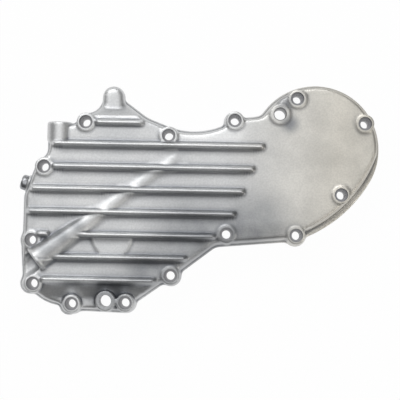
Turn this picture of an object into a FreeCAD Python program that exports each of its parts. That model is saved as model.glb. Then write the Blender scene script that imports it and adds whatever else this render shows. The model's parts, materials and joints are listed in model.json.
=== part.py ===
import FreeCAD, Part
import math
import os

import Sketcher
from FreeCAD import Vector

# Ribbed gear-case cover of an engine, cast in aluminium as one piece. It lies on its gasket
# face (z = 0) with the finned face up. The ribs run along +X. Around it stand fourteen
# counterbored screw bosses, an oil passage crosses the ribs as a slanting round tube, and the
# hidden side is an open gear cavity with bushed shaft bosses.

doc = FreeCAD.newDocument("gear_case_cover")
sheet = doc.addObject("Spreadsheet::Sheet", "Sheet")

SIZES = {
    "heights": {
        "flange_height": 5.0, "face_height": 26.0, "boss_height": 27.0, "roof": 5.0,
    },
    "wall": {
        "lip": 1.4, "wall_lean": 1.8, "edge_round": 2.8, "wall": 8.3, "flank_lip": 4.4,
        "flank_lip_turn": -70.5, "flank_lip_spread": 75.0,
    },
    "screw bosses": {
        "boss_round": 8.8, "boss_top_round": 7.4, "screw_hole": 6.9, "head_hole": 10.8,
        "head_depth": 5.5, "bite": 1.0,
    },
    "big holes": {
        "stud_hole": 9.5, "stud_boss_round": 9.6,
        "hole_chamfer": 1.2,
    },
    "blends of the outline": {
        "lobe_blend": 8.0, "small_blend": 3.0, "boss_blend": 5.0, "wall_blend": 8.0,
        "shoulder_blend": 27.0, "nose_blend": 13.4, "corner_blend": 6.0, "heel_blend": 19.0,
        "step_blend": 12.0, "cavity_corner": 18.0,
    },
    "ribs": {
        "rib_pitch": 18.2, "rib_first": 43.6, "rib_tall": 4.5, "rib_width": 6.6, "rib_crest": 1.3,
        "rib_sink": 1.0,
    },
    "oil tube": {
        "tube_round": 10.3, "tube_slim_round": 6.3, "tube_taper": 66.0, "tube_x": -131.4,
        "tube_y": -50.5, "tube_turn": 37.1, "tube_length": 138.0, "tube_drop": 2.6,
        "tube_height": 23.7, "collar_round": 10.8, "collar": 3.0, "oil_hole": 8.0,
        "oil_reach": 124.0, "tool_round": 8.0, "tool_reach": 30.0,
    },
    "nose": {
        "nose_x": -71.3, "nose_y": 82.2, "nose_round": 9.1, "nose_length": 24.0,
        "nose_height": 18.7, "nose_edge": 5.0,
        "nose_top": 16.0, "nose_slope_start": 66.5, "nose_slope_end": 75.0,
        "nose_slope_width": 60.0,
    },
    "end boss": {
        "end_boss_x": -113.9, "end_boss_y": 61.0, "end_boss_round": 10.2, "end_boss_length": 16.0,
        "end_boss_height": 18.5, "end_boss_edge": 1.5,
    },
    "pad": {
        "pad_x": -69.8, "pad_y": -31.2, "pad_round": 16.0, "pad_tall": 0.9,
    },
    "heel slope": {
        "heel_slope_start": -66.0, "heel_slope_end": -80.0, "heel_slope_drop": 7.5,
        "heel_slope_left": -150.0, "heel_slope_right": 0.0, "slope_runout": 24.0,
    },
    "shaft bosses": {
        "pinion_x": -24.0, "pinion_y": 30.6, "pinion_bore": 22.0, "pinion_bush_outer": 28.0,
        "cam_first_x": -50.0, "cam_pitch": 38.0, "cam_y": -10.0, "cam_bore": 16.0,
        "cam_bush_outer": 20.0, "bush_length": 15.0, "bush_recess": 2.0, "bearing_wall": 5.0,
        "shaft_room": 3.0, "cam_count": 4,
    },
    "plugs": {
        "side_plug_x": -139.7, "side_plug_y": 11.3, "side_plug_height": 14.0,
        "side_plug_turn": 163.0, "side_plug_round": 6.2, "side_plug_stand": 5.0,
        "side_plug_dome": 2.2, "side_plug_shank": 4.6, "side_plug_depth": 9.0, "side_slot": 1.6,
        "side_boss_wall": 1.2, "side_boss_root": 4.0,
        "tube_plug_round": 6.5, "tube_plug_depth": 10.0, "plug_socket": 6.0,
    },
}
# Screw holes, named by where they stand on the cover.
SCREWS = {
    "top_left": (-92.8, 61.1), "top_mid": (-26.1, 51.3), "waist": (26.8, 64.4),
    "lobe_top": (76.7, 82.7), "lobe_right": (131.3, 63.7), "lobe_low": (113.1, 6.2),
    "low_right": (77.6, -26.9), "low_mid": (21.6, -27.0), "slant": (-22.6, -61.0),
    "heel_right": (-58.4, -83.4), "heel_left": (-101.4, -84.9), "left_low": (-132.5, -69.2),
    "left_mid": (-134.6, -34.3), "left_up": (-125.6, 24.7),
}
UPPER_HOLE = (63.0, 70.2)
LOWER_HOLE = (-74.4, -82.2)
# Round stretches of the outline: centre and radius. A negative radius is a hollow stretch.
ROUNDS = {
    "lobe": (92.6, 43.4, 51.8), "hollow": (-6.8, 115.9, -59.4), "hip": (-133.2, 0.0, 10.0),
    "left_mid_boss": (-134.8, -34.3, 10.6), "toe": (-136.0, -69.3, 8.8),
    "toe_side": (-109.1, -52.9, 34.2), "heel": (-104.6, -86.6, 7.9),
}
# Straight stretches: direction, in degrees from +X, and distance from the part's origin.
WALLS = {
    "waist_wall": (187.1, 63.55), "brow": (158.8, 46.4), "shoulder": (143.6, 27.7),
    "end_wall": (180.0, 61.0), "side_wall": (270.0, 124.6), "low_side": (-86.1, 146.9),
    "cavity_top": (180.0, 60.0), "cavity_slant": (232.0, 100.0), "cavity_side": (270.0, 132.0),
    "cavity_heel": (0.0, 82.0), "heel_slant": (35.6, 38.8), "long_slant": (37.6, 37.8),
    "low_edge": (5.1, 38.5),
}

BENDS = {  # stretches that take their place from their neighbours
    "left_wall_turn": -90.6, "heel_wall_turn": -1.8, "flank_round": 110.0, "flank_turn": -30.3,
}
RIBS = {  # ends along X, and how many pitches below the first rib
    "crown": (-83.0, -49.0, -0.96), "first": (-117.2, 48.6, 0), "second": (-116.8, 41.0, 1),
    "third": (-134.0, 33.4, 2), "fourth": (-136.2, 26.5, 3), "fifth_stub": (-128.2, -122.5, 4),
    "fifth": (-104.0, 10.9, 4), "sixth": (-116.0, -12.0, 5), "seventh": (-124.3, -36.4, 6),
}


def put(name, value):
    row = put.row
    sheet.set("A%d" % row, name)
    sheet.set("B%d" % row, repr(float(value)))
    sheet.setAlias("B%d" % row, name)
    put.row = row + 1


put.row = 1

for group, values in SIZES.items():
    for name, value in values.items():
        put(name, value)
for name, (x, y) in SCREWS.items():
    put(name + "_x", x)
    put(name + "_y", y)
for name, (x, y) in {"upper_hole": UPPER_HOLE, "lower_hole": LOWER_HOLE}.items():
    put(name + "_x", x)
    put(name + "_y", y)
for name, (x, y, radius) in ROUNDS.items():
    put(name + "_x", x)
    put(name + "_y", y)
    put(name + "_round", radius)
for name, (turn, distance) in WALLS.items():
    put(name + "_turn", turn)
    put(name + "_distance", distance)
for name, (left, right, step) in RIBS.items():
    put("rib_%s_left" % name, left)
    put("rib_%s_right" % name, right)
for name, value in BENDS.items():
    put(name, value)
doc.recompute()


def size(name):
    return float(getattr(sheet, name))


# The outline, counter-clockwise: stretches that have a place of their own, and what joins them.
# "blend" hollows the corner between two stretches, "corner" rounds it outward, "reach" is the
# straight line that touches two rounds, and "touch" joins stretches that already touch.
OUTLINE = [
    ("round", "lobe"), ("blend", "lobe_blend"),
    ("wall", "waist_wall"), ("blend", "small_blend"),
    ("boss", "waist"), ("blend", "small_blend"),
    ("round", "hollow"), ("blend", "boss_blend"),
    ("boss", "top_mid"), ("blend", "boss_blend"),
    ("wall", "brow"), ("blend", "shoulder_blend"),
    ("wall", "shoulder"), ("blend", "small_blend"),
    ("round", "nose"), ("blend", "nose_blend"),
    ("boss", "top_left"), ("blend", "boss_blend"),
    ("wall", "end_wall"), ("corner", "corner_blend"),
    ("wall", "side_wall"), ("blend", "wall_blend"),
    ("boss", "left_up"), ("reach", None),
    ("round", "hip"), ("touch", None),
    ("wall after", "left_wall"), ("blend", "wall_blend"),
    ("round", "left_mid_boss"), ("blend", "wall_blend"),
    ("wall", "low_side"), ("blend", "wall_blend"),
    ("round", "toe"), ("blend", "boss_blend"),
    ("round", "toe_side"), ("blend", "small_blend"),
    ("round", "heel"), ("blend", "heel_blend"),
    ("wall before", "heel_wall"), ("touch", None),
    ("boss", "heel_right"), ("blend", "boss_blend"),
    ("wall", "heel_slant"), ("blend", "boss_blend"),
    ("boss", "slant"), ("blend", "boss_blend"),
    ("wall", "long_slant"), ("blend", "step_blend"),
    ("wall", "low_edge"), ("blend", "wall_blend"),
    ("boss", "low_right"), ("blend", "small_blend"),
    ("flank", "flank"), ("touch", None),
]
# The gear cavity follows the same walls inside, but stays clear of the nose and the sloping heel.
CAVITY = [
    ("round", "lobe"), ("blend", "lobe_blend"),
    ("wall", "waist_wall"), ("corner", "cavity_corner"),
    ("round", "hollow"), ("corner", "cavity_corner"),
    ("wall", "cavity_top"), ("corner", "cavity_corner"),
    ("wall", "side_wall"), ("blend", "wall_blend"),
    ("wall", "cavity_slant"), ("corner", "cavity_corner"),
    ("wall", "cavity_side"), ("corner", "cavity_corner"),
    ("wall", "cavity_heel"), ("corner", "cavity_corner"),
    ("wall", "long_slant"), ("blend", "step_blend"),
    ("wall", "low_edge"), ("corner", "cavity_corner"),
    ("flank", "flank"), ("touch", None),
]


def heading(turn):
    return Vector(math.cos(math.radians(turn)), math.sin(math.radians(turn)), 0)


def outward(direction):
    return Vector(direction.y, -direction.x, 0)


class Stretch:
    """One stretch of the outline: a round with a signed radius, or a straight wall."""

    def __init__(self, kind, name, inset):
        self.kind = kind
        self.name = name
        self.straight = kind.startswith("wall")
        if kind == "boss":
            self.centre = Vector(size(name + "_x"), size(name + "_y"), 0)
            self.radius = size("boss_round") - inset
        elif kind == "round":
            self.centre = Vector(size(name + "_x"), size(name + "_y"), 0)
            self.radius = size(name + "_round") - inset
        elif kind == "flank":
            lobe = Vector(size("lobe_x"), size("lobe_y"), 0)
            reach = size("flank_round") - size("lobe_round")
            self.centre = lobe - heading(size("flank_turn")) * reach
            self.radius = size("flank_round") - inset
        elif kind == "wall":
            self.along = heading(size(name + "_turn"))
            self.point = outward(self.along) * (size(name + "_distance") - inset)
        else:
            self.along = heading(size(name + "_turn"))

    def rest_on(self, neighbour):
        """Lay a wall without a distance of its own against the round beside it."""
        self.point = neighbour.centre + outward(self.along) * neighbour.radius

    def shifted(self, radius):
        """Where the centre of a round of that signed radius can be when it touches this one."""
        if self.straight:
            return Part.Line(self.point - outward(self.along) * radius,
                             self.point - outward(self.along) * radius + self.along)
        return Part.Circle(self.centre, Vector(0, 0, 1), abs(self.radius - radius))

    def touch_point(self, centre, radius):
        if self.straight:
            return centre + outward(self.along) * radius
        away = (centre - self.centre).normalize()
        if self.radius < radius:
            away = away * -1
        return self.centre + away * self.radius


def turning(centre, radius, start, end):
    """Angle swept from start to end, taken the way a round of that signed radius runs."""
    first = math.atan2(start.y - centre.y, start.x - centre.x)
    last = math.atan2(end.y - centre.y, end.x - centre.x)
    sweep = last - first if radius > 0 else first - last
    return sweep % (2 * math.pi)


def meet(one, other):
    """Points where two lines or circles of the plane z = 0 cross."""
    if isinstance(one, Part.Circle) and isinstance(other, Part.Line):
        one, other = other, one
    if isinstance(other, Part.Line):
        cross = one.Direction.x * other.Direction.y - one.Direction.y * other.Direction.x
        gap = other.Location - one.Location
        along = (gap.x * other.Direction.y - gap.y * other.Direction.x) / cross
        return [one.Location + one.Direction * along]
    if isinstance(one, Part.Line):
        middle = one.Location + one.Direction * (other.Center - one.Location).dot(one.Direction)
        half = math.sqrt(other.Radius ** 2 - (other.Center - middle).Length ** 2)
        return [middle - one.Direction * half, middle + one.Direction * half]
    between = other.Center - one.Center
    along = (between.Length ** 2 + one.Radius ** 2 - other.Radius ** 2) / (2 * between.Length)
    half = math.sqrt(one.Radius ** 2 - along ** 2)
    between.normalize()
    middle = one.Center + between * along
    return [middle + outward(between) * half, middle - outward(between) * half]


def solve_outline(outline, inset):
    """Edges of an outline, each a dictionary, in order and with their start and end points."""
    stretches = [Stretch(kind, name, inset) for kind, name in outline[0::2]]
    joins = outline[1::2]
    count = len(stretches)
    for index, stretch in enumerate(stretches):
        if stretch.kind == "wall after":
            stretch.rest_on(stretches[index - 1])
        if stretch.kind == "wall before":
            stretch.rest_on(stretches[(index + 1) % count])
    starts = [None] * count
    ends = [None] * count
    between = [None] * count
    for index, (join, name) in enumerate(joins):
        one = stretches[index]
        other = stretches[(index + 1) % count]
        if join in ("blend", "corner"):
            radius = size(name) * (1 if join == "corner" else -1) - inset
            best = None
            for centre in meet(one.shifted(radius), other.shifted(radius)):
                first = one.touch_point(centre, radius)
                last = other.touch_point(centre, radius)
                sweep = turning(centre, radius, first, last)
                if best is None or sweep < best[0]:
                    best = (sweep, centre, first, last)
            between[index] = {"kind": join, "name": name, "centre": best[1], "radius": radius,
                              "start": best[2], "end": best[3]}
            ends[index] = best[2]
            starts[(index + 1) % count] = best[3]
        elif join == "reach":
            across = other.centre - one.centre
            lean = (one.radius - other.radius) / across.Length
            across.normalize()
            side = across * lean + outward(across) * math.sqrt(1 - lean ** 2)
            ends[index] = one.centre + side * one.radius
            starts[(index + 1) % count] = other.centre + side * other.radius
            between[index] = {"kind": join, "start": ends[index],
                              "end": starts[(index + 1) % count]}
        else:
            if one.straight or other.straight:
                meeting = one.point if one.straight else other.point
            else:
                larger, smaller = (one, other) if one.radius > other.radius else (other, one)
                away = (smaller.centre - larger.centre).normalize()
                meeting = larger.centre + away * larger.radius
            ends[index] = meeting
            starts[(index + 1) % count] = meeting
    edges = []
    for index, stretch in enumerate(stretches):
        edge = {"kind": stretch.kind, "name": stretch.name, "start": starts[index],
                "end": ends[index]}
        if not stretch.straight:
            edge["centre"] = stretch.centre
            edge["radius"] = stretch.radius
        edges.append(edge)
        if between[index]:
            edges.append(between[index])
    return edges


def new_sketch(name, height="0"):
    sketch = doc.addObject("Sketcher::SketchObject", name)
    sketch.setExpression("Placement.Base.z", height)
    return sketch


def bind(sketch, constraint, expression):
    index = sketch.addConstraint(constraint)
    sketch.setExpression("Constraints[%d]" % index, expression)


def outline_sketch(name, outline, inset_expression="0", inset=0.0):
    """Draw an outline in a sketch, moved inward by an inset."""
    sketch = new_sketch(name)
    edges = solve_outline(outline, inset)
    corners = []
    for edge in edges:
        if "radius" not in edge:
            geometry = sketch.addGeometry(Part.LineSegment(edge["start"], edge["end"]), False)
            corners.append((geometry, 1, 2))
            continue
        first = edge["start"] - edge["centre"]
        last = edge["end"] - edge["centre"]
        if edge["radius"] < 0:
            first, last = last, first
        circle = Part.Circle(edge["centre"], Vector(0, 0, 1), abs(edge["radius"]))
        arc = Part.ArcOfCircle(circle, math.atan2(first.y, first.x), math.atan2(last.y, last.x))
        geometry = sketch.addGeometry(arc, False)
        corners.append((geometry, 1, 2) if edge["radius"] > 0 else (geometry, 2, 1))
    joints = []
    for index, (geometry, start, end) in enumerate(corners):
        following, following_start, following_end = corners[(index + 1) % len(corners)]
        joints.append(Sketcher.Constraint("Tangent", geometry, end, following, following_start))
    sketch.addConstraint(joints)
    for edge, (geometry, start, end) in zip(edges, corners):
        dimension_edge(sketch, edge, geometry, inset_expression)
    return sketch


def dimension_edge(sketch, edge, geometry, inset):
    kind, name = edge["kind"], edge.get("name")
    if kind in ("blend", "corner"):
        sign = "-" if kind == "corner" else "+"
        bind(sketch, Sketcher.Constraint("Radius", geometry, abs(edge["radius"])),
             "Sheet.%s %s (%s)" % (name, sign, inset))
    elif kind in ("boss", "round"):
        radius = "Sheet.boss_round" if kind == "boss" else "Sheet.%s_round" % name
        bind(sketch, Sketcher.Constraint("Radius", geometry, abs(edge["radius"])),
             "abs(%s - (%s))" % (radius, inset))
        centre = edge["centre"]
        bind(sketch, Sketcher.Constraint("DistanceX", -1, 1, geometry, 3, centre.x),
             "Sheet.%s_x" % name)
        bind(sketch, Sketcher.Constraint("DistanceY", -1, 1, geometry, 3, centre.y),
             "Sheet.%s_y" % name)
    elif kind == "flank":
        bind(sketch, Sketcher.Constraint("Radius", geometry, edge["radius"]),
             "Sheet.flank_round - (%s)" % inset)
        bind(sketch, Sketcher.Constraint("DistanceY", -1, 1, geometry, 3, edge["centre"].y),
             "Sheet.lobe_y - (Sheet.flank_round - Sheet.lobe_round) * sin(Sheet.flank_turn * 1 deg)")
    elif kind.startswith("wall"):
        turn = math.radians(size(name + "_turn"))
        turn = math.atan2(math.sin(turn), math.cos(turn))
        bind(sketch, Sketcher.Constraint("Angle", geometry, turn),
             "Sheet.%s_turn * 1 deg" % name)
        if kind == "wall":
            distance = size(name + "_distance")
            bind(sketch, Sketcher.Constraint("Distance", -1, 1, geometry, distance),
                 "Sheet.%s_distance - (%s)" % (name, inset))


UP = Vector(0, 0, 1)


def dimension(item, **expressions):
    for name, expression in expressions.items():
        item.setExpression(name, expression)
    return item


def cylinder(name, radius, height, base, direction=UP):
    item = dimension(doc.addObject("Part::Cylinder", name), Radius=radius, Height=height)
    item.Placement = FreeCAD.Placement(base, FreeCAD.Rotation(UP, direction))
    return item


def fuse(name, items):
    item = doc.addObject("Part::MultiFuse", name)
    item.Shapes = items
    item.Refine = True
    return item


def cut(name, base, tool):
    item = doc.addObject("Part::Cut", name)
    item.Base = base
    item.Tool = tool
    return item


def extrude(name, profile, length, taper=None, direction=UP):
    item = dimension(doc.addObject("Part::Extrusion", name), LengthFwd=length)
    item.Base = profile
    item.DirMode = "Custom"
    item.Dir = direction
    item.Solid = True
    if taper:
        dimension(item, TaperAngle=taper)
    return item


def round_edges(name, base, radius, chosen):
    """Round the edges of a finished shape that a test picks out."""
    doc.recompute()
    item = doc.addObject("Part::Fillet", name)
    item.Base = base
    edges = enumerate(base.Shape.Edges, 1)
    item.Edges = [(number, radius, radius) for number, edge in edges if chosen(edge)]
    return item


def at(name, height):
    return Vector(size(name + "_x"), size(name + "_y"), height)


# --- The shell: a low flange, a leaning wall with a rounded upper edge, and a hollow below ----

outline = outline_sketch("Outline", OUTLINE)
cavity_outline = outline_sketch("CavityOutline", CAVITY, "Sheet.wall", size("wall"))
flange = extrude("Flange", outline, "Sheet.flange_height")
foot = doc.addObject("Part::Offset2D", "WallFoot")
foot.Source = outline
dimension(foot, Value="-Sheet.lip")
wall = extrude("Wall", foot, "Sheet.face_height", "-atan(Sheet.wall_lean / Sheet.face_height)")
face_height = size("face_height")


def on_level(height):
    return lambda edge: abs(edge.BoundBox.ZMin - height) < 1e-4


rounded_wall = round_edges("RoundedWall", wall, size("edge_round"), on_level(face_height))

# Beside the lobe the wall steps back, which leaves a wider ledge on the flange there.

flank_centre = at("lobe", size("flange_height"))
flank_centre -= heading(size("flank_turn")) * (size("flank_round") - size("lobe_round"))
set_back = doc.addObject("Part::Cone", "SetBackWall")
dimension(set_back, Radius1="Sheet.flank_round - Sheet.flank_lip",
          Radius2="Sheet.flank_round - Sheet.flank_lip - Sheet.wall_lean",
          Height="Sheet.face_height - Sheet.flange_height")
set_back.Placement.Base = flank_centre
rounded_back = round_edges("RoundedBack", set_back, size("edge_round"), on_level(face_height))
ledge_sector = cylinder("LedgeSector", "Sheet.flank_round + Sheet.flank_lip",
                        "Sheet.face_height", flank_centre)
ledge_sector.Angle = size("flank_lip_spread")
ledge_sector.Placement.Rotation = FreeCAD.Rotation(UP, size("flank_lip_turn"))
ledge = cut("Ledge", ledge_sector, rounded_back)
cavity = extrude("Cavity", cavity_outline, "Sheet.face_height - Sheet.roof")
rounded_cavity = round_edges("RoundedCavity", cavity, size("edge_round"),
                             on_level(face_height - size("roof")))


def slope(name, start, end, depth, across):
    """A wedge that planes the face down from y = start to the given depth at y = end."""
    left, right = across
    top = face_height + size("edge_round")
    low = face_height - depth
    beyond = end + math.copysign(size("slope_runout"), end - start)
    points = [Vector(left, start, face_height), Vector(left, end, low), Vector(left, beyond, low),
              Vector(left, beyond, top), Vector(left, start, top)]
    if end < start:
        points.reverse()
    wedge = doc.addObject("Part::Feature", name)
    profile = Part.Face(Part.makePolygon(points + points[:1]))
    wedge.Shape = profile.extrude(Vector(right - left, 0, 0))
    return wedge


nose_slope = slope("NoseSlope", size("nose_slope_start"), size("nose_slope_end"),
                   face_height - size("nose_top"),
                   (size("nose_x") - size("nose_slope_width") / 2,
                    size("nose_x") + size("nose_slope_width") / 2))
heel_slope = slope("HeelSlope", size("heel_slope_start"), size("heel_slope_end"),
                   size("heel_slope_drop"), (size("heel_slope_left"), size("heel_slope_right")))
shell = cut("Shell", fuse("Blank", [flange, rounded_wall]),
            fuse("Hollows", [rounded_cavity, nose_slope, heel_slope, ledge]))

# --- Screw bosses and the bosses of the two big holes ------------------------------------------

columns = []
bores = []
for name in list(SCREWS) + ["upper_hole", "lower_hole"]:
    column = doc.addObject("Part::Cone", name + "_boss")
    screw = name in SCREWS
    foot_round = "Sheet.boss_round" if screw else "Sheet.stud_boss_round"
    dimension(column, Radius1=foot_round, Height="Sheet.boss_height",
              Radius2=foot_round + " - (Sheet.boss_round - Sheet.boss_top_round)")
    column.Placement.Base = at(name, 0)
    columns.append(column)
    width = "Sheet.screw_hole / 2" if screw else "Sheet.stud_hole / 2"
    bores.append(cylinder(name + "_bore", width, "Sheet.boss_height + 2 * Sheet.bite",
                          at(name, -size("bite"))))
    if screw:
        seat = at(name, size("boss_height") - size("head_depth"))
        bores.append(cylinder(name + "_head", "Sheet.head_hole / 2",
                              "Sheet.head_depth + Sheet.bite", seat))
    else:
        bevel = dimension(doc.addObject("Part::Cone", name + "_bevel"), Radius1=width,
                          Radius2=width + " + 2 * Sheet.hole_chamfer",
                          Height="2 * Sheet.hole_chamfer")
        bevel.Placement.Base = at(name, size("boss_height") - size("hole_chamfer"))
        bores.append(bevel)

# --- Ribs: a rounded crest on leaning sides, with domed ends ------------------------------------

def rib_profile(name, place, half):
    """Section of a rib, drawn upright: X across it and Y up; the half is for turned ends."""
    sketch = doc.addObject("Sketcher::SketchObject", name)
    sketch.Placement = place
    wide, tall = size("rib_width") / 2, size("rib_tall")
    crest, sink = size("rib_crest"), size("rib_sink")
    centre = Vector(0, tall - crest, 0)
    foot = Vector(wide, -sink, 0)
    reach = foot - centre
    lean = math.atan2(reach.y, reach.x) + math.acos(crest / reach.Length)
    touch = centre + Vector(math.cos(lean), math.sin(lean), 0) * crest
    low = Vector(0 if half else -wide, -sink, 0)
    circle = Part.Circle(centre, UP, crest)
    last = math.pi / 2 if half else math.pi - lean
    top = Part.ArcOfCircle(circle, lean, last)
    sketch.addGeometry([Part.LineSegment(low, foot), Part.LineSegment(foot, touch), top], False)
    join = [Sketcher.Constraint("Coincident", 0, 2, 1, 1),
            Sketcher.Constraint("Tangent", 1, 2, 2, 1),
            Sketcher.Constraint("PointOnObject", 2, 3, -2)]
    if half:
        sketch.addGeometry(Part.LineSegment(centre + Vector(0, crest, 0), low), False)
        join += [Sketcher.Constraint("Horizontal", 0),
                 Sketcher.Constraint("Coincident", 2, 2, 3, 1),
                 Sketcher.Constraint("Coincident", 3, 2, 0, 1),
                 Sketcher.Constraint("PointOnObject", 3, 1, -2),
                 Sketcher.Constraint("PointOnObject", 3, 2, -2)]
    else:
        mirrored = Vector(-touch.x, touch.y, 0)
        sketch.addGeometry(Part.LineSegment(mirrored, low), False)
        join += [Sketcher.Constraint("Tangent", 2, 2, 3, 1),
                 Sketcher.Constraint("Coincident", 3, 2, 0, 1),
                 Sketcher.Constraint("Symmetric", 0, 1, 0, 2, -2)]
    sketch.addConstraint(join)
    bind(sketch, Sketcher.Constraint("DistanceX", -1, 1, 0, 2, wide), "Sheet.rib_width / 2")
    bind(sketch, Sketcher.Constraint("DistanceY", 0, 2, -1, 1, sink), "Sheet.rib_sink")
    bind(sketch, Sketcher.Constraint("Radius", 2, crest), "Sheet.rib_crest")
    bind(sketch, Sketcher.Constraint("DistanceY", -1, 1, 2, 3, tall - crest),
         "Sheet.rib_tall - Sheet.rib_crest")
    return sketch


UPRIGHT = FreeCAD.Rotation(Vector(0, 1, 0), Vector(0, 0, 1), Vector(1, 0, 0), "ZXY")
ribs = []
for name, (left, right, step) in RIBS.items():
    row = size("rib_first") - step * size("rib_pitch")
    start = Vector(size("rib_%s_left" % name), row, face_height)
    finish = Vector(size("rib_%s_right" % name), row, face_height)
    section = rib_profile("Rib_%s_section" % name, FreeCAD.Placement(start, UPRIGHT), False)
    ribs.append(extrude("Rib_%s" % name, section, "Sheet.rib_{0}_right - Sheet.rib_{0}_left"
                        .format(name), direction=Vector(1, 0, 0)))
    for side, spot in (("left", start), ("right", finish)):
        half = rib_profile("Rib_%s_%s_section" % (name, side),
                           FreeCAD.Placement(spot, UPRIGHT), True)
        dome = doc.addObject("Part::Revolution", "Rib_%s_%s_end" % (name, side))
        dome.Source = half
        dome.Axis = UP
        dome.Base = spot
        dome.Angle = 360
        dome.Solid = True
        ribs.append(dome)

# --- The oil passage: a round tube that tapers and sinks into the face towards the pinion shaft -

tube_end = Vector(size("tube_x"), size("tube_y"), size("tube_height"))
tube_way = heading(size("tube_turn")) * size("tube_length") - UP * size("tube_drop")
tube_way.normalize()
along_tube = FreeCAD.Placement(tube_end, FreeCAD.Rotation(UP, tube_way))
tube_root = doc.addObject("Part::Cone", "OilTubeRoot")
dimension(tube_root, Radius1="Sheet.tube_round", Radius2="Sheet.tube_slim_round",
          Height="Sheet.tube_taper")
tube_root.Placement = along_tube
collar = cylinder("OilTubeCollar", "Sheet.collar_round", "Sheet.collar", tube_end, tube_way)
tube = cylinder("OilTube", "Sheet.tube_slim_round", "Sheet.tube_length", tube_end, tube_way)
tube_tip = dimension(doc.addObject("Part::Sphere", "OilTubeTip"), Radius="Sheet.tube_slim_round")
tube_tip.Placement.Base = tube_end + tube_way * size("tube_length")
passage = cylinder("OilPassage", "Sheet.oil_hole / 2", "Sheet.oil_reach", tube_end, tube_way)
plug_seat = cylinder("TubePlugSeat", "Sheet.tube_plug_round", "Sheet.tube_plug_depth",
                     tube_end, tube_way)
tool_path = cylinder("ToolPath", "Sheet.tool_round", "Sheet.tool_reach", tube_end, tube_way * -1)

# --- Nose, end boss, half-round pad -------------------------------------------------------------

nose_post = cylinder("NosePost", "Sheet.nose_round", "Sheet.nose_height", at("nose", 0))
nose_block = doc.addObject("Part::Box", "NoseBlock")
dimension(nose_block, Length="2 * Sheet.nose_round", Width="Sheet.nose_length",
          Height="Sheet.nose_height")
nose_block.Placement.Base = at("nose", 0) - Vector(size("nose_round"), size("nose_length"), 0)
nose_back = size("nose_y") - size("nose_length")
nose = round_edges("Nose", fuse("NoseBlank", [nose_post, nose_block]), size("nose_edge"),
                   lambda edge: on_level(size("nose_height"))(edge)
                   and edge.BoundBox.YMax > nose_back + 1e-3)

end_boss_corner = at("end_boss", 0)
end_block = doc.addObject("Part::Box", "EndBossBlock")
dimension(end_block, Length="2 * Sheet.end_boss_round", Width="Sheet.end_boss_length",
          Height="Sheet.end_boss_height")
end_block.Placement.Base = end_boss_corner - Vector(size("end_boss_round"),
                                                    size("end_boss_length"), 0)
end_barrel = cylinder("EndBossBarrel", "Sheet.end_boss_round", "Sheet.end_boss_length",
                      at("end_boss", size("end_boss_height")), Vector(0, -1, 0))
end_boss_front = size("end_boss_y")
end_boss = round_edges("EndBoss", fuse("EndBossBlank", [end_block, end_barrel]),
                       size("end_boss_edge"),
                       lambda edge: edge.BoundBox.YMin > end_boss_front - 1e-3
                       and edge.BoundBox.ZMax > 1)

pad = dimension(doc.addObject("Part::Cylinder", "HalfRoundPad"), Radius="Sheet.pad_round",
                Height="Sheet.pad_tall + Sheet.bite")
pad.Angle = 180
pad.Placement = FreeCAD.Placement(at("pad", face_height - size("bite")),
                                  FreeCAD.Rotation(UP, 180))

# --- Shaft bosses inside the cavity, with their bushes ------------------------------------------

SHAFTS = {"pinion": at("pinion", 0)}
for number in range(int(size("cam_count"))):
    SHAFTS["cam_%d" % (number + 1)] = Vector(size("cam_first_x") + number * size("cam_pitch"),
                                             size("cam_y"), 0)
bearing_bosses = []
bushes = []
for name, centre in SHAFTS.items():
    kind = name.split("_")[0]
    outer = "Sheet.%s_bush_outer / 2" % kind
    inner = "Sheet.%s_bore / 2" % kind
    lift = UP * size("bush_recess")
    bearing_bosses.append(cylinder(name + "_bearing", outer + " + Sheet.bearing_wall",
                                   "Sheet.face_height - Sheet.roof - Sheet.bush_recess"
                                   " + Sheet.bite",
                                   centre + lift))
    bores.append(cylinder(name + "_seat", outer, "Sheet.bush_length", centre + lift))
    bores.append(cylinder(name + "_room", inner, "Sheet.bush_length + Sheet.shaft_room",
                          centre + lift))
    bush = cut(name + "_bush", cylinder(name + "_bush_body", outer, "Sheet.bush_length",
                                        centre + lift),
               cylinder(name + "_bush_bore", inner, "Sheet.bush_length", centre + lift))
    bush.Label = name + "_bush"
    bushes.append(bush)

# --- Side plug, screwed into the left wall ------------------------------------------------------

side_seat = at("side_plug", size("side_plug_height"))
side_way = heading(size("side_plug_turn"))
side_boss = cylinder("SidePlugBoss", "Sheet.side_plug_round + Sheet.side_boss_wall",
                     "Sheet.side_plug_depth + Sheet.side_boss_root", side_seat, side_way * -1)
side_hole = cylinder("SidePlugHole", "Sheet.side_plug_shank", "Sheet.side_plug_depth",
                     side_seat, side_way * -1)
side_head = cylinder("SidePlugHead", "Sheet.side_plug_round", "Sheet.side_plug_stand",
                     side_seat, side_way)
side_face = side_seat + side_way * size("side_plug_stand")
rounded_head = round_edges("SidePlugDome", side_head, size("side_plug_dome"),
                           lambda edge: (edge.CenterOfMass - side_face).Length < 1e-3)
side_shank = cylinder("SidePlugShank", "Sheet.side_plug_shank", "Sheet.side_plug_depth",
                      side_seat, side_way * -1)
side_slot = doc.addObject("Part::Box", "SidePlugSlot")
dimension(side_slot, Length="3 * Sheet.side_plug_round", Width="Sheet.side_slot",
          Height="3 * Sheet.side_slot")
slot_turn = FreeCAD.Rotation(UP, side_way)
slot_corner = Vector(-1.5 * size("side_plug_round"), -size("side_slot") / 2,
                     size("side_plug_stand") - size("side_slot"))
side_slot.Placement = FreeCAD.Placement(side_seat + slot_turn.multVec(slot_corner), slot_turn)
side_plug = cut("side_plug", fuse("SidePlugBlank", [rounded_head, side_shank]), side_slot)
side_plug.Label = "side_plug"

# --- Tube plug with a six-sided socket ----------------------------------------------------------

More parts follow.
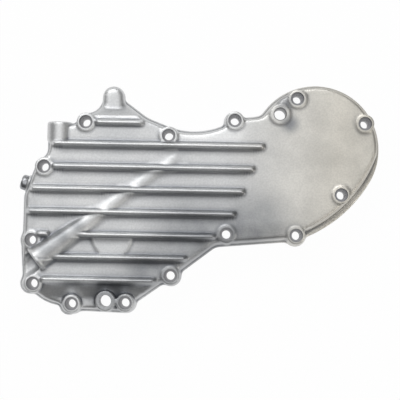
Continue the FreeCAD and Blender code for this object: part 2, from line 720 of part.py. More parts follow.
socket = doc.addObject("Part::Prism", "TubePlugSocket")
socket.Polygon = 6
dimension(socket, Circumradius="Sheet.plug_socket / sqrt(3)", Height="Sheet.tube_plug_depth / 2")
socket.Placement = along_tube
tube_plug = cut("tube_plug", cylinder("TubePlugBody", "Sheet.tube_plug_round",
                                      "Sheet.tube_plug_depth", tube_end, tube_way), socket)
tube_plug.Label = "tube_plug"

# --- The casting: everything joined, then drilled -----------------------------------------------

tube_forms = [tube_root, collar, tube, tube_tip]
solid = fuse("Solid", [shell] + columns + ribs + tube_forms
             + [nose, end_boss, pad, side_boss] + bearing_bosses)
cover = cut("cover_casting", solid, fuse("Machining", bores + [passage, plug_seat, tool_path,
                                                           side_hole]))
cover.Label = "cover_casting"

# --- The part's origin lies below the middle of its footprint -----------------------------------

doc.recompute()
nodes = [cover, side_plug, tube_plug] + bushes
footprint = FreeCAD.BoundBox()
for node in nodes:
    footprint.add(node.Shape.optimalBoundingBox(False, False))
datum = Vector(-footprint.Center.x, -footprint.Center.y, 0)
for node in nodes:
    node.Placement.Base = datum
doc.recompute()
for item in doc.Objects:
    if "Invalid" in item.State or "Error" in item.State:
        raise RuntimeError("%s failed: %s" % (item.Name, item.State))
os.makedirs("parts", exist_ok=True)
for node in nodes:
    shape = node.Shape
    if shape.isNull() or not shape.isValid():
        raise RuntimeError("%s has no valid shape" % node.Label)
    if len(shape.Solids) != 1:
        raise RuntimeError("%s is not one solid" % node.Label)
    print(node.Label, round(shape.Volume), "mm3")
    shape.exportStep("parts/%s.step" % node.Label)
print("origin moved by", round(datum.x, 3), round(datum.y, 3))
print("overall", round(footprint.XLength, 2), round(footprint.YLength, 2),
      round(footprint.ZLength, 2))
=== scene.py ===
# %% [markdown]
# This file dresses a die cast gear case cover: one aluminium casting with ribs on its
# face, two steel plugs and five bronze bushes. The solid model of the cover is loaded
# first and stays where it is. Everything made here is in metres, in the same frame.

# %% Load the cover
import json
import math
import bmesh
import bpy
import numpy as np
from mathutils import Matrix, Vector
from mathutils.bvhtree import BVHTree
from mathutils.kdtree import KDTree


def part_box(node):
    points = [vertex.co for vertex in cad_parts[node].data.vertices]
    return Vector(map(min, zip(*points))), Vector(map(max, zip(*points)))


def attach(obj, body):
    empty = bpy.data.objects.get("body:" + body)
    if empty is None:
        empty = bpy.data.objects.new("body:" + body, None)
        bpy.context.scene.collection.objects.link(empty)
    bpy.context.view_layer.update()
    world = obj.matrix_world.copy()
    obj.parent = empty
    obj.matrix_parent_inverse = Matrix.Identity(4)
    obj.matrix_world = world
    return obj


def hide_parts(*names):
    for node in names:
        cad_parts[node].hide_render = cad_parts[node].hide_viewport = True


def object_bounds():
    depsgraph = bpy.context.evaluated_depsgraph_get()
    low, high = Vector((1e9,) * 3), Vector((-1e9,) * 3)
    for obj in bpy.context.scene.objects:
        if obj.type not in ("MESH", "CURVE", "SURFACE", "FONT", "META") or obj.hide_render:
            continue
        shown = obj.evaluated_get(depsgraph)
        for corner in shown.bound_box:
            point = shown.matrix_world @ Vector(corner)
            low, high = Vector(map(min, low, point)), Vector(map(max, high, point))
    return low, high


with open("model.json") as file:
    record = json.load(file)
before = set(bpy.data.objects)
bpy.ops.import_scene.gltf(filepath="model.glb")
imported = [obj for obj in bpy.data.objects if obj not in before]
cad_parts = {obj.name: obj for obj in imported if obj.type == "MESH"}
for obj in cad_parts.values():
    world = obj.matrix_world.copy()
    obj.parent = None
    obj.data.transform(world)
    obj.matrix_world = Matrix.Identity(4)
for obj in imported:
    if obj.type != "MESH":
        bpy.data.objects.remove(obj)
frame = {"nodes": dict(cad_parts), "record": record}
SOLID_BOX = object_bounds()
MM = 0.001
NODES = frame["nodes"]
MOUNTS = {mount["name"]: mount for mount in frame["record"]["mounts"]}
print("nodes:", sorted(NODES))
print("cover box:", [round(v / MM, 1) for corner in SOLID_BOX for v in corner], "mm")

# %% [markdown]
# Every step below starts with nothing selected, because the operators act on all that is
# selected. A few small helpers keep that in one place: one chooses an object, one
# applies its modifiers, and one makes a clean copy of a node from the solid model.

# %% Helpers for choosing and copying
def choose(piece):
    if bpy.context.mode != "OBJECT":
        bpy.ops.object.mode_set(mode="OBJECT")
    bpy.ops.object.select_all(action="DESELECT")
    piece.select_set(True)
    bpy.context.view_layer.objects.active = piece


def apply_modifiers(piece):
    choose(piece)
    for modifier in list(piece.modifiers):
        bpy.ops.object.modifier_apply(modifier=modifier.name)


def merged_copy(node, name):
    piece = bpy.data.objects.new(name, NODES[node].data.copy())
    piece.data.name = name
    piece.data.materials.clear()
    bpy.context.scene.collection.objects.link(piece)
    choose(piece)
    bpy.ops.object.mode_set(mode="EDIT")
    bpy.ops.mesh.select_all(action="SELECT")
    bpy.ops.mesh.remove_doubles(threshold=0.002 * MM)
    bpy.ops.object.mode_set(mode="OBJECT")
    return piece


def smooth_out(piece, name, iterations, group=""):
    smoothing = piece.modifiers.new(name, "SMOOTH")
    smoothing.vertex_group = group
    smoothing.factor = 0.5
    smoothing.iterations = iterations
    apply_modifiers(piece)


def weigh(piece, name, weight_at):
    group = piece.vertex_groups.new(name=name)
    for vertex in piece.data.vertices:
        weight = weight_at(vertex.co)
        if weight > 0:
            group.add([vertex.index], weight, "REPLACE")


def clamped(value):
    return min(1.0, max(0.0, value))


def joined(pieces, name):
    choose(pieces[0])
    for piece in pieces:
        piece.select_set(True)
    bpy.ops.object.join()
    whole = bpy.context.view_layer.objects.active
    whole.name = name
    whole.data.name = name
    bpy.ops.object.transform_apply(location=True, rotation=True, scale=True)
    return whole


def cylinder(x, y, low, high, radius, sides=64):
    bpy.ops.mesh.primitive_cylinder_add(vertices=sides, radius=radius, depth=high - low,
                                        location=(x, y, (low + high) / 2))
    return bpy.context.view_layer.objects.active


# %% [markdown]
# The screw holes are drilled after the casting has cooled, so they stay crisp while the
# cast skin around them is soft. To cut them again later, their places are needed. Each
# hole leaves a closed ring of edges in the gasket plane, where a flat face pointing down
# meets an upright wall, so the rings are gathered there and the small round ones kept.

# %% Find the drilled holes
SCREW_HOLE = MOUNTS["screws_heel_right_and_heel_left"]["dims"]["hole_r_mm"] * MM
STUD_HOLE = MOUNTS["studs"]["dims"]["hole_r_mm"] * MM
TINY = 0.01 * MM
LOOKS_DOWN = -0.99
ROUND_WITHIN = 0.3 * MM
WIDEST_HOLE = 12 * MM


def rings_at_the_foot(piece):
    mesh = bmesh.new()
    mesh.from_mesh(piece.data)
    at_foot = {}
    for edge in mesh.edges:
        flat = [face.normal.z < LOOKS_DOWN for face in edge.link_faces]
        if sum(flat) == 1 and all(abs(v.co.z) < TINY for v in edge.verts):
            for here, there in (edge.verts, reversed(edge.verts)):
                at_foot.setdefault(here.index, []).append(there.index)
    mesh.verts.ensure_lookup_table()
    places = {corner: mesh.verts[corner].co.copy() for corner in at_foot}
    mesh.free()
    rings = []
    while at_foot:
        open_ends = [next(iter(at_foot))]
        ring = []
        while open_ends:
            here = open_ends.pop()
            if here in at_foot:
                ring.append(places[here])
                open_ends += at_foot.pop(here)
        rings.append(ring)
    return rings


def round_holes(rings, widest):
    holes = []
    for ring in rings:
        low = Vector(min(c[k] for c in ring) for k in range(3))
        high = Vector(max(c[k] for c in ring) for k in range(3))
        wide, tall = (high - low).xy
        if wide < widest and abs(wide - tall) < ROUND_WITHIN:
            holes.append(((low.x + high.x) / 2, (low.y + high.y) / 2, wide / 2))
    return holes


cast_skin = merged_copy("cover_casting", "cast_skin")
holes = round_holes(rings_at_the_foot(cast_skin), WIDEST_HOLE)
screw_holes = [hole for hole in holes if hole[2] < (SCREW_HOLE + STUD_HOLE) / 2]
stud_holes = [hole for hole in holes if hole not in screw_holes]
print(len(screw_holes), "screw holes,", len(stud_holes), "stud holes")

# %% [markdown]
# A casting has no sharp edges: metal fills the mould with small rounds, and tumbling
# wears the rest down. The solid model is turned into one skin of even little faces with
# the Remesh modifier, and a Smooth modifier then melts ribs, bosses and walls together.
# The holes are stopped up first, so that they don't melt too.

# %% Melt the cast skin together
RIM_HEIGHT = 27 * MM
HEAD_HOLE = 5.4 * MM
HEAD_DEPTH = 5.5 * MM
HOLE_BEVEL = 1.2 * MM
STOPPER_OVER = 0.4 * MM
SKIN_GRAIN = 0.6 * MM

stoppers = [cylinder(x, y, 0, RIM_HEIGHT, HEAD_HOLE + STOPPER_OVER) for x, y, _ in screw_holes]
stoppers += [cylinder(x, y, 0, RIM_HEIGHT, STUD_HOLE + HOLE_BEVEL + STOPPER_OVER)
             for x, y, _ in stud_holes]
cast_skin = joined([cast_skin] + stoppers, "cast_skin")
grain = cast_skin.modifiers.new("even faces", "REMESH")
grain.mode = "VOXEL"
grain.voxel_size = SKIN_GRAIN
grain.use_smooth_shade = True
apply_modifiers(cast_skin)
print("even skin:", len(cast_skin.data.polygons), "faces")

# %% [markdown]
# The gasket face and the shaft bosses are machined on the real cover, so a vertex group
# keeps the Smooth modifier out of them. The weights of the group rise from nothing to
# one over a short height, or a step would show where the smoothing begins.

# %% Keep machined places out, and smooth the rest
BUSHES = [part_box(node) for node in sorted(NODES) if node.endswith("_bush")]
MACHINED_MARGIN = 4 * MM
MACHINED_TOP = 20 * MM
GASKET_EDGE = 1.0 * MM
GASKET_FADE = 2 * MM


def softness(co):
    if co.z < GASKET_EDGE:
        return 0.0
    for low, high in BUSHES:
        middle = (Vector(low) + Vector(high)) / 2
        reach = (high[0] - low[0]) / 2 + MACHINED_MARGIN
        if co.z < MACHINED_TOP and (co - middle).xy.length < reach:
            return 0.0
    return min(1.0, (co.z - GASKET_EDGE) / GASKET_FADE)


weigh(cast_skin, "soft", softness)
smooth_out(cast_skin, "melt", 20, "soft")
print("softened", len(cast_skin.data.vertices), "mesh corners")

# %% [markdown]
# The oil tube stands clear of the face only near its plug. Further up it is just a low
# swelling that the ribs run across. A second, longer smoothing along that stretch melts
# its sides into the face, and leaves the ribs alone. The foot of the nose and the heel
# run out softly on the real casting too, so they share this second group.

# %% Melt the upper tube, the nose and the heel into the face
TUBE_PLUG = [Vector(corner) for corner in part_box("tube_plug")]
TUBE_TURN = math.radians(37.1)
TUBE_MOUTH = (TUBE_PLUG[0] + TUBE_PLUG[1]) / 2
TUBE_LENGTH = 140 * MM
TUBE_REACH = 11 * MM
TUBE_SIDE_FADE = 4 * MM
TUBE_END_FADE = 60 * MM
TUBE_FOOT = 22 * MM
RIB_FIRST = 43.25 * MM
RIB_PITCH = 18.2 * MM
RIB_KEPT = 2.6 * MM
RIB_FADE = 1.5 * MM
RIB_LEAST = 0.06
NOSE_FOOT = Vector((-72 * MM, 77 * MM))
NOSE_REACH = 17 * MM
NOSE_LOW = 10 * MM
HEEL_TOP = -68.5 * MM
HEEL_RIGHT = -44 * MM
HEEL_LOW = 8 * MM
HEEL_FADE = 3 * MM
BOSS_KEPT = 8.5 * MM
BOSS_FADE = 3 * MM
HOLE_PLACES = [Vector((x, y)) for x, y, _ in screw_holes + stud_holes]


def heel_share(co):
    return clamped((HEEL_TOP - co.y) / HEEL_FADE)


def tube_share(co):
    offset = (co - TUBE_MOUTH).xy
    along = offset.x * math.cos(TUBE_TURN) + offset.y * math.sin(TUBE_TURN)
    aside = abs(offset.y * math.cos(TUBE_TURN) - offset.x * math.sin(TUBE_TURN))
    if co.z < TUBE_FOOT or aside > TUBE_REACH or not 0 < along < TUBE_LENGTH:
        return 0.0
    row = (RIB_FIRST - co.y) / RIB_PITCH
    to_rib = abs(row - round(row)) * RIB_PITCH
    between_ribs = min(1.0, max(RIB_LEAST, (to_rib - RIB_KEPT) / RIB_FADE))
    side = min(1.0, (TUBE_REACH - aside) / TUBE_SIDE_FADE)
    return between_ribs * min(1.0, along / TUBE_END_FADE) * side


def run_out(co):
    heel = heel_share(co)
    if heel > 0 and co.x < HEEL_RIGHT and co.z > HEEL_LOW:
        to_hole = min((co.xy - place).length for place in HOLE_PLACES)
        return heel * clamped((to_hole - BOSS_KEPT) / BOSS_FADE)
    nose = (co.xy - NOSE_FOOT).length / NOSE_REACH
    if co.z > NOSE_LOW and nose < 1:
        return min(1.0, 3 * (1 - nose))
    return tube_share(co)


weigh(cast_skin, "swelling", run_out)
smooth_out(cast_skin, "sink", 100, "swelling")
print("tube, nose and heel melted in")

# %% [markdown]
# On the real cover the foot of each rib is wide and soft on its lower side and tight on
# its upper side. The face is raised a little along each lower side to make that. Rays
# dropped onto the skin tell where a rib stands above the face.

# %% Widen the lower foot of each rib
RIB_HALF_WIDTH = 3.0 * MM
RIB_COUNT = 7
FOOT_REACH = 5.5 * MM
FOOT_RISE = 0.9 * MM
FOOT_INSIDE = 1.5 * MM
FOOT_LOW = 22 * MM
RAY_START = 60 * MM
RIB_LEAST_RISE = 2.5 * MM
RIB_LEAST_HEIGHT = 28 * MM
RIB_SAMPLES = range(-8, 9, 2)
skin_tree = BVHTree.FromObject(cast_skin, bpy.context.evaluated_depsgraph_get())
rib_known = {}


def height(x, y):
    hit = skin_tree.ray_cast(Vector((x, y, RAY_START)), Vector((0, 0, -1)))[0]
    return hit.z if hit else 0.0


def rib_stands(row, step):
    if (row, step) not in rib_known:
        y = RIB_FIRST - row * RIB_PITCH
        x = step * MM
        rise = height(x, y) - height(x, y - RIB_PITCH / 2)
        is_rib = rise > RIB_LEAST_RISE and height(x, y) > RIB_LEAST_HEIGHT
        rib_known[row, step] = 1.0 if is_rib else 0.0
    return rib_known[row, step]


def foot_at(co):
    row = int((RIB_FIRST - co.y + FOOT_INSIDE) // RIB_PITCH)
    below = RIB_FIRST - row * RIB_PITCH - RIB_HALF_WIDTH - co.y
    if not 0 <= row < RIB_COUNT or not -FOOT_INSIDE < below < FOOT_REACH:
        return 0.0
    if co.z < FOOT_LOW:
        return 0.0
    step = round(co.x / MM)
    standing = sum(rib_stands(row, step + shift) for shift in RIB_SAMPLES) / len(RIB_SAMPLES)
    along = max(0.0, 2 * standing - 1)
    if below < 0:
        return along * FOOT_RISE * (1 + below / FOOT_INSIDE)
    return along * FOOT_RISE * (1 - below / FOOT_REACH) ** 2


foot_shares = np.array([foot_at(vertex.co) / FOOT_RISE for vertex in cast_skin.data.vertices])
for vertex, share in zip(cast_skin.data.vertices, foot_shares):
    vertex.co.z += share * FOOT_RISE
smooth_out(cast_skin, "settle", 5, "soft")
print("feet raised at", int((foot_shares > 0).sum()), "mesh corners")

# %% [markdown]
# The face of such a cover is not one plane. It falls away gently towards some edges,
# and this is what makes bare metal go from light to dark across it. Each fall is given
# as a line from one point to another, a depth at that line and a reach over which it
# fades out. Ribs and bosses ride down with the face. Places and depths are in mm.

# %% Let the face fall away towards its edges
FACE_HEIGHT = 26 * MM
FALL_FOOT = 12 * MM
FALLS = {
    "below the middle": ((24, -38), (78, -34), 2.2, 20),
    "beside the long slant": ((-30, -74), (14, -38), 1.2, 14),
    "under the hollow": ((-20, 58), (24, 60), 1.6, 16),
    "left end": ((-142, -40), (-140, 10), 1.2, 14),
    "heel": ((-120, -88), (-50, -90), 1.5, 22),
}


def distance_to(start, end, x, y):
    along = Vector((end[0] - start[0], end[1] - start[1]))
    away = Vector((x - start[0], y - start[1]))
    share = max(0.0, min(1.0, away.dot(along) / along.length_squared))
    return (away - along * share).length


def fall_at(x, y):
    total = 0.0
    for start, end, depth, reach in FALLS.values():
        nearness = 1 - distance_to(start, end, x / MM, y / MM) / reach
        if nearness > 0:
            total += depth * MM * nearness * nearness * (3 - 2 * nearness)
    return total


print("falls:", ", ".join(sorted(FALLS)))
SOLID_TOP = SOLID_BOX[1][2] - 0.02 * MM
deepest = 0.0
for vertex in cast_skin.data.vertices:
    lifted = clamped((vertex.co.z - FALL_FOOT) / (FACE_HEIGHT - FALL_FOOT))
    if lifted > 0:
        fall = fall_at(vertex.co.x, vertex.co.y) * lifted
        vertex.co.z = min(vertex.co.z, SOLID_TOP) - fall
        deepest = max(deepest, fall)
print("deepest fall:", round(deepest / MM, 2), "mm")

# %% [markdown]
# Shade is painted into the corners of the casting, and a highlight onto what stands out.
# To paint this, each spot is compared with its surroundings smoothed out: a corner lies
# below them and an edge above. The result is kept as a number on each mesh corner.

# %% Measure corners and edges
def coordinates(mesh, what="co"):
    values = np.zeros(len(mesh.vertices) * 3)
    if what == "co":
        mesh.vertices.foreach_get("co", values)
    else:
        mesh.vertex_normals.foreach_get("vector", values)
    return values.reshape(-1, 3)


trial = bpy.data.objects.new("trial", cast_skin.data.copy())
bpy.context.scene.collection.objects.link(trial)
smooth_out(trial, "blur", 14)
skin_places = coordinates(cast_skin.data)
shift = coordinates(trial.data) - skin_places
skin_hollows = (shift * coordinates(cast_skin.data, "normal")).sum(axis=1)
bpy.data.objects.remove(trial)
print("corners up to", round(skin_hollows.max() / MM, 2), "mm")
print("edges down to", round(skin_hollows.min() / MM, 2), "mm")

# %% [markdown]
# The even skin has far more faces than its flat places need. The Decimate modifier
# takes faces away where they matter least, down to a number that any viewer can hold.

# %% Thin the skin where it is flat
FACES_WANTED = 170000
faces = sum(len(p.vertices) - 2 for p in cast_skin.data.polygons)
thin = cast_skin.modifiers.new("thin", "DECIMATE")
thin.ratio = min(1.0, FACES_WANTED / faces)
apply_modifiers(cast_skin)
print("thinned skin:", faces, "to", len(cast_skin.data.polygons))

# %% [markdown]
# The cast metal is pale grey aluminium with a fine, even grain and soft clouds of tone.
# Its shader is plain metal with a wide sheen. Noises shift its tone, warmer towards the
# lobe, and a fine one gives the grain as a bump. Every pattern is placed by Object
# coordinates, so it stays put on the piece. The helpers here build the usual nodes.

# %% Helpers for materials
def new_material(name, colour, metallic, roughness):
    material = bpy.data.materials.new(name)
    material.use_nodes = True
    shader = material.node_tree.nodes["Principled BSDF"]
    shader.inputs["Base Color"].default_value = (*colour, 1)
    shader.inputs["Metallic"].default_value = metallic
    shader.inputs["Roughness"].default_value = roughness
    return material, material.node_tree, shader


def noise(tree, scale, detail=3.0, stretch=None):
    place = tree.nodes.new("ShaderNodeTexCoord")
    source = place.outputs["Object"]
    if stretch:
        mapping = tree.nodes.new("ShaderNodeMapping")
        mapping.inputs["Scale"].default_value = stretch
        tree.links.new(source, mapping.inputs["Vector"])
        source = mapping.outputs["Vector"]
    pattern = tree.nodes.new("ShaderNodeTexNoise")
    pattern.inputs["Scale"].default_value = scale
    pattern.inputs["Detail"].default_value = detail
    tree.links.new(source, pattern.inputs["Vector"])
    return pattern.outputs["Fac"]


def ramp(tree, source, *stops):
    band = tree.nodes.new("ShaderNodeValToRGB")
    band.color_ramp.elements[0].position = stops[0][0]
    band.color_ramp.elements[0].color = (*stops[0][1], 1)
    band.color_ramp.elements[1].position = stops[-1][0]
    band.color_ramp.elements[1].color = (*stops[-1][1], 1)
    for position, colour in stops[1:-1]:
        band.color_ramp.elements.new(position).color = (*colour, 1)
    tree.links.new(source, band.inputs["Fac"])
    return band.outputs["Color"]


def bump(tree, shader, height, strength, distance):
    relief = tree.nodes.new("ShaderNodeBump")
    relief.inputs["Strength"].default_value = strength
    relief.inputs["Distance"].default_value = distance
    tree.links.new(height, relief.inputs["Height"])
    tree.links.new(relief.outputs["Normal"], shader.inputs["Normal"])


def mixed(tree, share, first, second, kind="MIX"):
    blend = tree.nodes.new("ShaderNodeMix")
    blend.data_type = "RGBA"
    blend.blend_type = kind
    for socket, value in ((0, share), (6, first), (7, second)):
        if isinstance(value, (int, float)):
            blend.inputs[socket].default_value = value
        elif isinstance(value, tuple):
            blend.inputs[socket].default_value = (*value, 1)
        else:
            tree.links.new(value, blend.inputs[socket])
    return blend.outputs[2]


def across(tree, low, high):
    place = tree.nodes.new("ShaderNodeTexCoord")
    split = tree.nodes.new("ShaderNodeSeparateXYZ")
    tree.links.new(place.outputs["Object"], split.inputs[0])
    fade = tree.nodes.new("ShaderNodeMapRange")
    fade.inputs["From Min"].default_value = low
    fade.inputs["From Max"].default_value = high
    tree.links.new(split.outputs["X"], fade.inputs["Value"])
    return fade.outputs["Result"]


def near(tree, point, reach):
    place = tree.nodes.new("ShaderNodeTexCoord")
    gap = tree.nodes.new("ShaderNodeVectorMath")
    gap.operation = "DISTANCE"
    gap.inputs[1].default_value = [v * MM for v in point]
    tree.links.new(place.outputs["Object"], gap.inputs[0])
    fade = tree.nodes.new("ShaderNodeMapRange")
    fade.interpolation_type = "SMOOTHSTEP"
    fade.inputs["From Min"].default_value = reach * MM
    fade.inputs["From Max"].default_value = 0.15 * reach * MM
    tree.links.new(gap.outputs["Value"], fade.inputs["Value"])
    return fade.outputs["Result"]


def blotch(tree, share, pattern):
    product = tree.nodes.new("ShaderNodeMath")
    product.operation = "MULTIPLY"
    tree.links.new(share, product.inputs[0])
    tree.links.new(pattern, product.inputs[1])
    return product.outputs[0]


# %% [markdown]
# Patches of painted shade darken the face in places: each is a soft round patch about a
# point, given in mm with its reach, and a noise makes it uneven. The corner and edge
# numbers then paint shade into the corners and a highlight onto the edges. Beside the
# ledge of the lobe they count for less.

# %% Cast aluminium
LEDGE_MIDDLE = (122, -8, 24)
LEDGE_REACH = 38
SHADE_PATCH_COLOUR = (0.30, 0.31, 0.325)
SHADE_PATCHES = {
    "low band": ((44, -20, 26), 42), "upper valley": ((67, 80, 26), 11),
    "by the upper hole": ((72, 62, 26), 11), "heel": ((-70, -76, 20), 27),
    "lower middle": ((0, -34, 26), 60), "heel side": ((-40, -60, 26), 34),
    "tube mouth": ((-121, -40, 30), 13), "lower tube": ((-110, -31, 31), 12),
    "middle tube": ((-98, -22, 31), 11),
}
COOL_UP_TO = 20 * MM
WARM_FROM = 110 * MM
cast_metal, tree, shader = new_material("cast_aluminium", (0.70, 0.70, 0.69), 1.0, 0.5)
cool = ramp(tree, noise(tree, 30), (0.3, (0.64, 0.65, 0.66)), (0.7, (0.74, 0.745, 0.745)))
warm = ramp(tree, noise(tree, 45, 5), (0.35, (0.58, 0.56, 0.51)), (0.65, (0.71, 0.685, 0.625)))
body = mixed(tree, across(tree, COOL_UP_TO, WARM_FROM), cool, warm)
patchy = ramp(tree, noise(tree, 60, 4), (0.3, (0.55, 0.55, 0.55)), (0.7, (0.95, 0.95, 0.95)))
# Each patch is painted shade, darkening the face about its point.
for point, reach in SHADE_PATCHES.values():
    body = mixed(tree, blotch(tree, near(tree, point, reach), patchy), body, SHADE_PATCH_COLOUR)
speckle = ramp(tree, noise(tree, 700, 2), (0.35, (0.9, 0.9, 0.9)), (0.65, (1.0, 1.0, 1.0)))
body = mixed(tree, 1.0, body, speckle, "MULTIPLY")
# The hollow number paints shade into the corners and a highlight onto the edges.
corners = tree.nodes.new("ShaderNodeAttribute")
corners.attribute_name = "hollow"
corner_shade_and_edge_highlight = ramp(tree, corners.outputs["Fac"], (0.25, (1.1, 1.1, 1.1)), (0.5, (1.0, 1.0, 1.0)),
            (0.64, (0.42, 0.43, 0.46)))
# Beside the ledge the painted shade and highlight count for less.
ledge_nearness = near(tree, LEDGE_MIDDLE, LEDGE_REACH)
by_the_ledge = ramp(tree, ledge_nearness, (0.0, (1, 1, 1)), (0.5, (0.6, 0.6, 0.6)))
tree.links.new(mixed(tree, by_the_ledge, body, corner_shade_and_edge_highlight, "MULTIPLY"), shader.inputs["Base Color"])
bump(tree, shader, noise(tree, 1000, 3), 0.5, 0.2 * MM)
print("shade_patches:", ", ".join(sorted(SHADE_PATCHES)))

# %% [markdown]
# Two kinds of machining are needed besides: drilled holes, painted dark as painted shade
# for the inside of a hole, and the milled gasket face, where the cutter left a fine wave of
# marks.

# %% Machined aluminium
# The dark base colour is painted shade for the inside of the holes.
shaded_machined_metal, tree, shader = new_material("machined_aluminium_painted_shade", (0.30, 0.30, 0.31), 1.0, 0.45)
bump(tree, shader, noise(tree, 600, 2, (1, 1, 12)), 0.2, 0.05 * MM)
milled_metal, tree, shader = new_material("milled_aluminium", (0.58, 0.58, 0.58), 1.0, 0.34)
sweep = tree.nodes.new("ShaderNodeTexWave")
sweep.inputs["Scale"].default_value = 260
sweep.inputs["Distortion"].default_value = 2.0
tree.links.new(tree.nodes.new("ShaderNodeTexCoord").outputs["Object"], sweep.inputs["Vector"])
bump(tree, shader, sweep.outputs["Fac"], 0.25, 0.04 * MM)
print("materials:", cast_metal.name, shaded_machined_metal.name, milled_metal.name)

# %% [markdown]
# Now the holes are cut with one Boolean modifier: a bore and a head seat for each screw,
# a bore with a small broken edge for each stud. The cutters carry the machined material,
# whose dark colour is painted shade, and the modifier hands it to the faces that they leave.

# %% Drill the holes again
BEVEL_OVER = 2 * MM
STUD_BEVEL = 0.5 * MM
DRILL_LOW = -5 * MM
DRILL_HIGH = 40 * MM
drills = []
for x, y, radius in screw_holes:
    drills.append(cylinder(x, y, DRILL_LOW, DRILL_HIGH, radius))
    drills.append(cylinder(x, y, RIM_HEIGHT - HEAD_DEPTH, DRILL_HIGH, HEAD_HOLE))
for x, y, radius in stud_holes:
    drills.append(cylinder(x, y, DRILL_LOW, DRILL_HIGH, radius))
    bpy.ops.object.select_all(action="DESELECT")
    bpy.ops.mesh.primitive_cone_add(
        vertices=64, radius1=radius - BEVEL_OVER, radius2=radius + STUD_BEVEL + BEVEL_OVER,
        depth=STUD_BEVEL + 2 * BEVEL_OVER, location=(x, y, RIM_HEIGHT - STUD_BEVEL / 2))
    drills.append(bpy.context.view_layer.objects.active)
for drill in drills:
    drill.data.materials.append(shaded_machined_metal)
drill_set = joined(drills, "drills")
cast_skin.data.materials.append(cast_metal)
cast_skin.data.materials.append(shaded_machined_metal)
drilling = cast_skin.modifiers.new("drilling", "BOOLEAN")
drilling.operation = "DIFFERENCE"
drilling.solver = "EXACT"
drilling.use_self = True
drilling.material_mode = "TRANSFER"
drilling.object = drill_set
apply_modifiers(cast_skin)
bpy.data.objects.remove(drill_set)
print("drilled skin:", len(cast_skin.data.polygons), "faces")

# %% [markdown]
# The corner and edge numbers were measured on the even skin, before it was thinned. Each
# mesh corner of the drilled skin takes them from the nearest old corner. The lower foot
# of each rib gets a little more painted shade, for the shadow that the rib casts there.

# %% Paint corners and edges onto the drilled skin
skin_corners = KDTree(len(skin_places))
for index, place in enumerate(skin_places):
    skin_corners.insert(place, index)
skin_corners.balance()
FULL_HOLLOW = 0.35 * MM
FOOT_SHADOW = 0.16
hollow = cast_skin.data.attributes.new("hollow", "FLOAT", "POINT")
for vertex in cast_skin.data.vertices:
    nearest = skin_corners.find(vertex.co)[1]
    # Painted shade for corners, painted highlight for edges, painted shadow below each rib.
    share = skin_hollows[nearest] / FULL_HOLLOW + FOOT_SHADOW * foot_shares[nearest]
    hollow.data[vertex.index].value = 0.5 + 0.5 * max(-1.0, min(1.0, share))
print("painted", len(cast_skin.data.vertices), "mesh corners")

# %% [markdown]
# The gasket face is found by its height and by its faces, which all look down. The skin
# then takes the place of the casting in every picture, and rides on the same body.

# %% Mill the gasket face and hand the skin over
MILLED_BELOW = 0.05 * MM
MILLED_SLOT = 2
cast_skin.data.materials.append(milled_metal)
milled = 0
for face in cast_skin.data.polygons:
    if face.center.z < MILLED_BELOW and face.normal.z < LOOKS_DOWN:
        face.material_index = MILLED_SLOT
        milled += 1
print("milled faces:", milled)
choose(cast_skin)
bpy.ops.object.shade_smooth_by_angle(angle=math.radians(40))
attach(cast_skin, "root")
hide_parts("cover_casting")

# %% [markdown]
# The plugs are turned from steel and the bushes from bronze. Turned parts have small
# broken edges, so each is a copy of its node with a fine bevel, and rings of tool marks
# in the shader. The rings are a wave pattern centred on the piece's own axis.

# %% Plugs and bushes
BROKEN_EDGE = 0.35 * MM
STEEL = (0.50, 0.51, 0.53)
BRONZE = (0.62, 0.43, 0.22)
TURNED_ROUGHNESS = 0.34


def turned_metal(name, colour, roughness, centre):
    material, tree, shader = new_material(name, colour, 1.0, roughness)
    place = tree.nodes.new("ShaderNodeTexCoord")
    mapping = tree.nodes.new("ShaderNodeMapping")
    mapping.inputs["Location"].default_value = -Vector(centre)
    tree.links.new(place.outputs["Object"], mapping.inputs["Vector"])
    rings = tree.nodes.new("ShaderNodeTexWave")
    rings.wave_type = "RINGS"
    rings.rings_direction = "SPHERICAL"
    rings.inputs["Scale"].default_value = 900
    rings.inputs["Distortion"].default_value = 1.5
    tree.links.new(mapping.outputs["Vector"], rings.inputs["Vector"])
    stain = ramp(tree, noise(tree, 220, 4), (0.3, tuple(0.6 * c for c in colour)), (0.7, colour))
    tree.links.new(stain, shader.inputs["Base Color"])
    bump(tree, shader, rings.outputs["Fac"], 0.2, 0.05 * MM)
    return material


for node in sorted(NODES):
    if node == "cover_casting":
        continue
    is_plug = node.endswith("_plug")
    low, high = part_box(node)
    turned = merged_copy(node, "turned_" + node)
    edges = turned.modifiers.new("broken edges", "BEVEL")
    edges.width = BROKEN_EDGE
    edges.segments = 2
    edges.limit_method = "ANGLE"
    edges.angle_limit = math.radians(40)
    apply_modifiers(turned)
    choose(turned)
    bpy.ops.object.shade_smooth_by_angle(angle=math.radians(35))
    metal = turned_metal("turned_" + node, STEEL if is_plug else BRONZE, TURNED_ROUGHNESS,
                         (low + high) / 2)
    turned.data.materials.append(metal)
    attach(turned, "root")
    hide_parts(node)
    print(turned.name, len(turned.data.polygons), "faces")

# %% [markdown]
# The cover lies on its gasket face on a plain white floor. The floor shows as white to
# the camera and in reflections, with a little of its own shading left for the shadow.

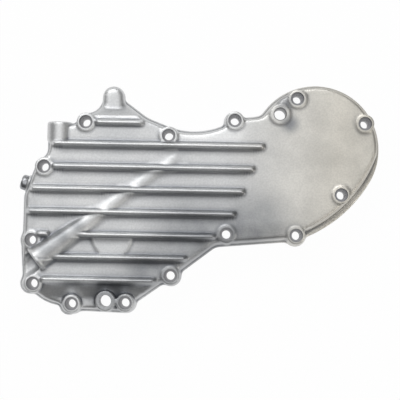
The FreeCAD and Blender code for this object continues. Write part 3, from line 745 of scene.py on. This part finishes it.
# %% Floor
FLOOR_GLOW = 0.975
FLOOR_SIZE = 8
FLOOR_BELOW = 0.2 * MM
bpy.ops.object.select_all(action="DESELECT")
bpy.ops.mesh.primitive_plane_add(size=FLOOR_SIZE, location=(0, 0, -FLOOR_BELOW))
floor = bpy.context.view_layer.objects.active
floor.name = "floor"
floor_paint, tree, shader = new_material("floor_white", (0.85, 0.85, 0.85), 0.0, 0.9)
glow = tree.nodes.new("ShaderNodeEmission")
glow.inputs["Strength"].default_value = 1.0
path = tree.nodes.new("ShaderNodeLightPath")
seen = tree.nodes.new("ShaderNodeMath")
seen.operation = "MAXIMUM"
tree.links.new(path.outputs["Is Camera Ray"], seen.inputs[0])
tree.links.new(path.outputs["Is Transmission Ray"], seen.inputs[1])
also = tree.nodes.new("ShaderNodeMath")
also.operation = "MAXIMUM"
tree.links.new(seen.outputs[0], also.inputs[0])
tree.links.new(path.outputs["Is Glossy Ray"], also.inputs[1])
share = tree.nodes.new("ShaderNodeMath")
share.operation = "MULTIPLY"
share.inputs[1].default_value = FLOOR_GLOW
tree.links.new(also.outputs[0], share.inputs[0])
mix = tree.nodes.new("ShaderNodeMixShader")
tree.links.new(share.outputs[0], mix.inputs[0])
tree.links.new(shader.outputs[0], mix.inputs[1])
tree.links.new(glow.outputs[0], mix.inputs[2])
tree.links.new(mix.outputs[0], tree.nodes["Material Output"].inputs["Surface"])
floor.data.materials.append(floor_paint)
print("floor:", FLOOR_SIZE, "m wide")

# %% [markdown]
# Bare metal shows what stands around it, so the lamps are large soft panels. One hangs
# high and lights the flat face. One stands beyond the nose side and draws a bright line
# along the upper side of each rib, while the lower side, which looks away, stays dark.
# A small one stands low beyond the lobe and brightens its ledge.

# %% Lamps
WORLD_LIGHT = 0.12


def lamp(name, place, aim, size, power, colour=(1, 1, 1)):
    light = bpy.data.lights.new(name, "AREA")
    light.shape = "RECTANGLE"
    light.size, light.size_y = size
    light.energy = power
    light.color = colour
    panel = bpy.data.objects.new(name, light)
    bpy.context.scene.collection.objects.link(panel)
    panel.location = place
    panel.rotation_euler = (Vector(aim) - Vector(place)).to_track_quat("-Z", "Y").to_euler()
    return panel


lamp("high_panel", (-0.1, 0.1, 2.2), (0, 0, 0), (2.2, 2.2), 17)
lamp("nose_side_panel", (-0.45, 1.25, 1.15), (0, 0, 0), (1.6, 0.7), 17)
lamp("lobe_side_panel", (1.1, -0.75, 0.8), (0, 0, 0), (0.5, 0.9), 5.0, (1.0, 0.97, 0.92))
world = bpy.data.worlds.new("studio")
world.use_nodes = True
world.node_tree.nodes["Background"].inputs["Color"].default_value = (1, 1, 1, 1)
world.node_tree.nodes["Background"].inputs["Strength"].default_value = WORLD_LIGHT
bpy.context.scene.world = world
print("lamps:", sorted(light.name for light in bpy.data.lights))

# %% [markdown]
# The camera looks almost straight down from about 1.5 m, so the walls hardly show. It
# stands a little towards the heel side and is turned by about one degree.

# %% Camera
SENSOR = 36
FAR_END = 50
CAMERA_ABOVE = 1517 * MM
VIEW_WIDTH = 320 * MM
ROLL = math.radians(1.1)
AIM = (0.674, -0.35, 27)
ASIDE = 4.96 * MM
TOWARDS_HEEL = -49.76 * MM
aim = Vector(AIM) * MM
eye = aim + Vector((ASIDE, TOWARDS_HEEL, CAMERA_ABOVE))
camera = bpy.data.cameras.new("camera")
camera.sensor_width = SENSOR
camera.lens = camera.sensor_width * CAMERA_ABOVE / VIEW_WIDTH
camera.clip_end = FAR_END
seat = bpy.data.objects.new("camera", camera)
bpy.context.scene.collection.objects.link(seat)
ahead = (aim - eye).normalized()
up = Vector((-math.sin(ROLL), math.cos(ROLL), 0))
right = ahead.cross(up).normalized()
up = right.cross(ahead)
seat.matrix_world = Matrix.Translation(eye) @ Matrix((right, up, -ahead)).transposed().to_4x4()
bpy.context.scene.camera = seat
print("camera at", [round(v, 3) for v in eye], "m")

# %% [markdown]
# Last, the view transform is set to Standard.

# %% Finish
bpy.context.scene.view_settings.view_transform = "Standard"
